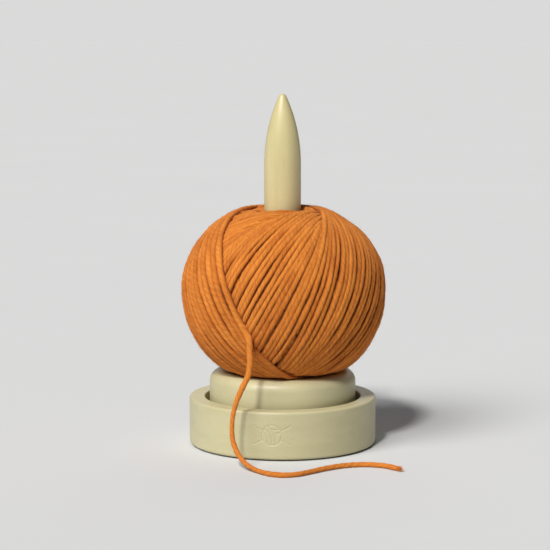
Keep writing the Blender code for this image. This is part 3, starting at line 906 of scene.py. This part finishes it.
def wound_groups(shown, is_inner):
    """The stretches of the winding that show, in groups that are about as long as a piece."""
    longest = PER_TURN * TURNS_PER_PIECE
    stretches = []
    for a, b in [*runs_of(shown & ~is_inner), *runs_of(shown & is_inner)]:
        stretches += [slice(first, min(b, first + longest + 1)) for first in range(a, b - 1, longest)]
    groups, size = [], 0
    for stretch in stretches:
        points = stretch.stop - stretch.start
        if not groups or size + points > longest + 1:
            groups.append([])
            size = 0
        groups[-1].append(stretch)
        size += points
    return groups


def make_winding(yarn, rng):
    """The ball's turns, one by one. Returns their path and normals, newest first, for the loose strand."""
    slack = np.interp(np.arange(OUTER_TURNS * PER_TURN) / PER_TURN, SLACK_UNTIL, [NEWEST_SLACK, 1.0])
    outer = wound_directions(OUTER_TURNS, OUTER_LEAN, TURN_STEP, NEWEST_AZIMUTH, EXIT_SWING, rng, slack)
    inner = wound_directions(INNER_TURNS, INNER_LEAN, INNER_STEP, INNER_AZIMUTH, 0, rng)
    directions = np.concatenate([outer, inner])
    outer_count, count = len(outer), len(directions)
    is_inner = np.arange(count) >= outer_count
    past = np.minimum(np.arange(count), outer_count) / PER_TURN
    height = directions[:, 2]

    surface, normals = on_ball(directions)
    rest = resting_heights(directions, past, is_inner, rng)
    raw = sunk_under(surface, rest)
    spacing = np.linalg.norm(np.diff(surface[:outer_count], axis=0), axis=1).mean()
    heights = np.concatenate([eased(raw[:outer_count], spacing), eased(raw[outer_count:], spacing)])
    heights = heights + TOP_LIFT * ramp(height, 0.80, 0.14) * np.clip(0.2 + past / 14, 0, 1)
    path = surface + normals * heights[:, None]
    lowest = DISC_TOP_Z + GAP + WOUND_HALF_THICK * 1.05
    path[:, 2] = np.maximum(path[:, 2], lowest)

    tint = np.clip(0.5 + wander(rng, count, 60, 0.27) + wander(rng, count, 4, 0.26), 0, 1)
    plump = 1 + wander(rng, count, 30, 0.08) + wander(rng, count, 5, 0.08) + wander(rng, count, 3, 0.05)
    plump[:outer_count] *= slack
    newest = LEAD[-1][0]
    plump[newest:newest + LEAD_TAPER] *= np.linspace(LEAD_END_SIZE, 1, LEAD_TAPER)
    across, up = section_axes(path, normals)
    sideways = wander(rng, count, 14, 0.22 * MM) + wander(rng, count, 4, 0.11 * MM)
    outwards = wander(rng, count, 11, 0.14 * MM) + wander(rng, count, 4, 0.08 * MM)
    path = path + across * sideways[:, None] + up * outwards[:, None]
    length = lengths_along(path)

    shown = ~is_inner | (np.abs(height) > cos(radians(INNER_SHOWN)))
    shown[:newest] = False
    for number, group in enumerate(wound_groups(shown, is_inner), start=1):
        strands = Strands()
        for part in group:
            half_width = WOUND_HALF_WIDTH * plump[part]
            half_thick = WOUND_HALF_THICK * plump[part] ** 0.5
            # the turns get painted shade on their flanks, in the hollows between them
            strands.add(path[part], across[part], up[part], length[part], half_width, half_thick,
                        tint[part], flank_shade=1.0)
        place(strands.build(f"yarn_turns_{number}", yarn), "yarn", "orange_wool")
    exposed = (heights > rest - 0.5 * MM) & (path[:, 2] > DISC_TOP_Z + 3 * MM) & shown
    make_fuzz(yarn, rng, path, across, up, np.flatnonzero(exposed))
    return path, normals


def add_fibre(strands, path, outward, radii, tint, sides):
    """A single fibre along a short path, with its own radius at each point."""
    across, up = section_axes(path, np.repeat(outward[None, :], len(path), axis=0))
    strands.add(path, across, up, lengths_along(path), radii, radii, tint, sides=sides)


def make_fuzz(yarn, rng, path, across, up, places):
    """Fine loose fibres that stand off the strands of the ball."""
    tangents = np.cross(up, across)
    radii = FUZZ_RADIUS * np.array([1, 1, 0.9, 0.7, 0.35])
    share = np.linspace(0, 1, len(radii))[:, None]
    strands = Strands()
    for start in rng.choice(places, FUZZ_COUNT):
        angle = rng.uniform(radians(20), radians(160))
        outward = across[start] * cos(angle) + up[start] * sin(angle)
        forward = tangents[start] * rng.choice([-1, 1]) + across[start] * rng.normal(0, 0.6)
        root = path[start] + outward * (WOUND_HALF_THICK * 0.93)
        reach = rng.uniform(*FUZZ_LENGTH)
        rise = rng.uniform(0.1, 0.6)
        curl = rng.normal(0, 0.3) * across[start]
        bend = forward * share + outward * rise * np.sin(share * 2.2) + curl * share**2
        add_fibre(strands, root + reach * bend, outward, radii, tint=0.8, sides=3)
    place(strands.build("yarn_fuzz", yarn), "yarn", "orange_wool")


def make_yarn_core(yarn):
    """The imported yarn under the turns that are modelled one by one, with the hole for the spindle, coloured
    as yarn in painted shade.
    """
    from_axis = 19
    inset = 3.4 * MM
    rows = []
    for r, z in zip(*yarn_profile(np.linspace(radians(from_axis), radians(180 - from_axis), 60))):
        share = 1 - inset / hypot(r, z)
        rows.append((r * share, YARN_WAIST_Z + z * share))
    wall = YARN_HOLE_RADIUS + 0.4 * MM
    rows = [row for row in rows if row[0] > wall + 1 * MM]
    core = turned("yarn_core", [(wall, rows[0][1]), *rows, (wall, rows[-1][1])], yarn, steps=120)
    mesh = core.data
    layer = mesh.uv_layers.new(name="strand")
    strands_round = 8
    for loop in mesh.loops:
        x, y, z = mesh.vertices[loop.vertex_index].co
        layer.data[loop.index].uv = (atan2(y, x) / tau * strands_round, z / TWIST_PITCH)
    # painted shade: the core gets the darkest tint and full shade all over, to look like yarn in shadow under
    # the turns
    give_values(mesh, "tint", np.zeros(len(mesh.vertices)))
    give_values(mesh, "painted_shade", np.ones(len(mesh.vertices)))
    place(core, "yarn", "orange_wool", "yarn_ball")


# Loose strand


def smooth_route(points, step):
    """Points on a Catmull-Rom curve through the route's points, about a step apart."""
    ends = [2 * points[0] - points[1], *points, 2 * points[-1] - points[-2]]
    smooth = []
    for a, b, c, d in zip(ends, ends[1:], ends[2:], ends[3:]):
        count = max(1, round((c - b).length / step))
        for i in range(count):
            t = i / count
            square = 2 * a - 5 * b + 4 * c - d
            cube = 3 * b - a - 3 * c + d
            smooth.append((2 * b + (c - a) * t + square * t**2 + cube * t**3) / 2)
    return [*smooth, points[-1]]


def carried_normals(path, first):
    """Normals along a free path, turned as little as they can be from the first."""
    normals = [first]
    for tangent in tangents_of(path):
        normal = normals[-1] - tangent * (normals[-1] @ tangent)
        normals.append(normal / np.linalg.norm(normal))
    return np.array(normals[1:])


def make_loose_strand(yarn, wound, wound_normals, rng):
    """The working end, which rises out of the newest turn, hangs to the table and lies on it."""
    route = [Vector(point) * MM for point in STRAND_ROUTE]
    lead = [Vector(wound[at] + wound_normals[at] * lift) for at, lift in LEAD]
    path = np.array([tuple(p) for p in smooth_route(lead + route, 1.2 * MM)])
    normals = carried_normals(path, wound_normals[LEAD[0][0]])
    across, up = section_axes(path, normals)
    lengths = lengths_along(path)
    tint = np.clip(0.55 + wander(rng, len(path), 20, 0.15), 0, 1)
    slack = 1 - np.clip(lengths / PULLED_THIN_AFTER, 0, 1)
    plump = (1 + wander(rng, len(path), 9, 0.05)) * (1 + (SLACK_PLUMPNESS - 1) * slack)
    plump[:LEAD_TAPER] *= np.linspace(LEAD_END_SIZE, 1, LEAD_TAPER)
    plump[-3:] *= [1, 0.93, 0.8]
    strand = Strands().add(path, across, up, lengths, STRAND_RADIUS * plump, STRAND_RADIUS * 0.94 * plump,
                           tint, sides=16)
    piece = place(strand.build("loose_strand", yarn), "yarn", "orange_wool", "yarn_strand")
    frayed = make_frayed_end(path, across[-1], up[-1], rng)


def make_frayed_end(path, across, up, rng):
    """The fibres that come loose at the strand's bare end."""
    onward = path[-1] - path[-2]
    onward /= np.linalg.norm(onward)
    radii = FRAYED_RADIUS * np.array([1, 1, 1, 0.9, 0.7, 0.4])
    share = np.linspace(0, 1, len(radii))[:, None]
    strands = Strands()
    for _ in range(FRAYED_COUNT):
        angle = rng.uniform(0, tau)
        outward = across * cos(angle) + up * sin(angle)
        root = path[-1] - onward * FRAYED_ROOT + outward * STRAND_RADIUS * rng.uniform(0.1, 0.85)
        splay = outward * rng.uniform(-0.1, 0.32) + across * rng.normal(0, 0.1)
        fibre = root + rng.uniform(*FRAYED_LENGTH) * (onward * share + splay * share**1.6)
        fibre[:, 2] = np.maximum(fibre[:, 2], FRAYED_RADIUS)
        add_fibre(strands, fibre, outward, radii, tint=1.0, sides=4)
    return place(strands.build("frayed_end", fibre_material()), "yarn", "orange_wool")


# Stage, lights and camera

FLOOR_HALF_WIDTH = 300.0
BACKDROP_COLOUR = (0.6985, 0.702, 0.6963, 1)  # which the lit floor has too, far off
SKY_COLOUR = (0.075, 0.077, 0.08, 1)
CAMERA_PLACE = (0, -1.070, 0.2304)
CAMERA_DOWN = 7.117  # degrees that it looks down by
CAMERA_LENS = 123.57
CAMERA_SHIFT = -0.01377


def make_floor():
    floor = Shader("floor", Roughness=1.0, Specular_IOR_Level=0.0)
    cloud = floor.noise(floor.object_space(), 3.0, 2.0)
    floor.surface(Base_Color=floor.mix(cloud, (0.633, 0.641, 0.65, 1), (0.653, 0.661, 0.67, 1)))
    half = FLOOR_HALF_WIDTH
    corners = [(-half, -half, 0), (half, -half, 0), (half, half, 0), (-half, half, 0)]
    make_object("floor", corners, [(0, 1, 2, 3)], floor.material)


def add_sun(name, azimuth, elevation, strength, spread, colour):
    """A soft sun, at an azimuth to the left of the viewer's side. Its angles are in degrees."""
    data = bpy.data.lights.new(name, "SUN")
    data.energy = strength
    data.angle = radians(spread)
    data.color = colour
    light = linked(name, data)
    a, e = radians(azimuth), radians(elevation)
    towards = Vector((-sin(a) * cos(e), -cos(a) * cos(e), sin(e)))
    light.rotation_euler = towards.to_track_quat("Z", "Y").to_euler()


def make_sky():
    """A dim sky, behind which the backdrop that shows has the floor's own shade."""
    world = bpy.data.worlds.new("studio")
    world.use_nodes = True
    tree = world.node_tree
    rays = tree.nodes.new("ShaderNodeLightPath").outputs["Is Camera Ray"]
    mix = tree.nodes.new("ShaderNodeMix")
    mix.data_type = "RGBA"
    mix.inputs[MIX_A].default_value = SKY_COLOUR
    mix.inputs[MIX_B].default_value = BACKDROP_COLOUR
    tree.links.new(rays, mix.inputs[MIX_FACTOR])
    tree.links.new(mix.outputs[MIX_RESULT], tree.nodes["Background"].inputs["Color"])
    bpy.context.scene.world = world


def light_scene():
    add_sun("key", azimuth=20, elevation=48, strength=2.05, spread=7, colour=(1.0, 0.985, 0.955))
    add_sun("side", azimuth=43, elevation=44, strength=2.0, spread=28, colour=(1.0, 0.985, 0.96))
    add_sun("back", azimuth=188, elevation=34, strength=0.5, spread=60, colour=(0.97, 0.985, 1.0))
    make_sky()
    bpy.context.scene.view_settings.view_transform = "Standard"


def make_camera():
    data = bpy.data.cameras.new("camera")
    data.lens = CAMERA_LENS
    data.shift_x = CAMERA_SHIFT
    camera = linked("camera", data)
    camera.location = CAMERA_PLACE
    camera.rotation_euler = (radians(90 - CAMERA_DOWN), 0, 0)
    bpy.context.scene.camera = camera


def make_yarn():
    rng = np.random.RandomState(SEED)
    yarn = yarn_material()
    wound, wound_normals = make_winding(yarn, rng)
    make_loose_strand(yarn, wound, wound_normals, rng)
    make_yarn_core(yarn)


def make_woodwork():
    pale = wood_material("turned_wood", light=(0.545, 0.51, 0.32, 1), dark=(0.465, 0.43, 0.245, 1),
                         turn=(0, 0, 0), gloss=0.2)
    peg = wood_material("spindle_wood", light=(0.615, 0.545, 0.295, 1), dark=(0.53, 0.46, 0.215, 1),
                        turn=(0, radians(90), 0), gloss=0.35)
    make_base(pale)
    make_disc(pale)
    make_spindle(peg)


def make_fittings():
    steel = metal_material("bearing_steel", (0.62, 0.62, 0.63, 1), 0.25, stretch=(300, 300, 3000))
    plated = metal_material("plated_steel", (0.58, 0.59, 0.62, 1), 0.32, stretch=(900, 900, 900))
    brass = metal_material("turned_brass", (0.80, 0.60, 0.27, 1), 0.28, stretch=(300, 300, 4000))
    nylon = nylon_material()
    make_pads(felt_material())
    make_bolt(plated)
    make_washer(nylon)
    make_bush(brass)
    make_insert(brass)
    make_race("lower_race", 1, steel, "base")
    make_race("upper_race", -1, steel, "turntable")
    make_steel_balls(steel)
    make_cage(nylon)
    finish_screws(plated)


def finish_screws(plated):
    """The CAD model's screws keep their shape, and get a better material."""
    for name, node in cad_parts.items():
        if "_screw_" in name:
            for slot in node.material_slots:
                slot.material = plated


make_camera()
make_yarn()
make_woodwork()
make_fittings()
make_floor()
light_scene()
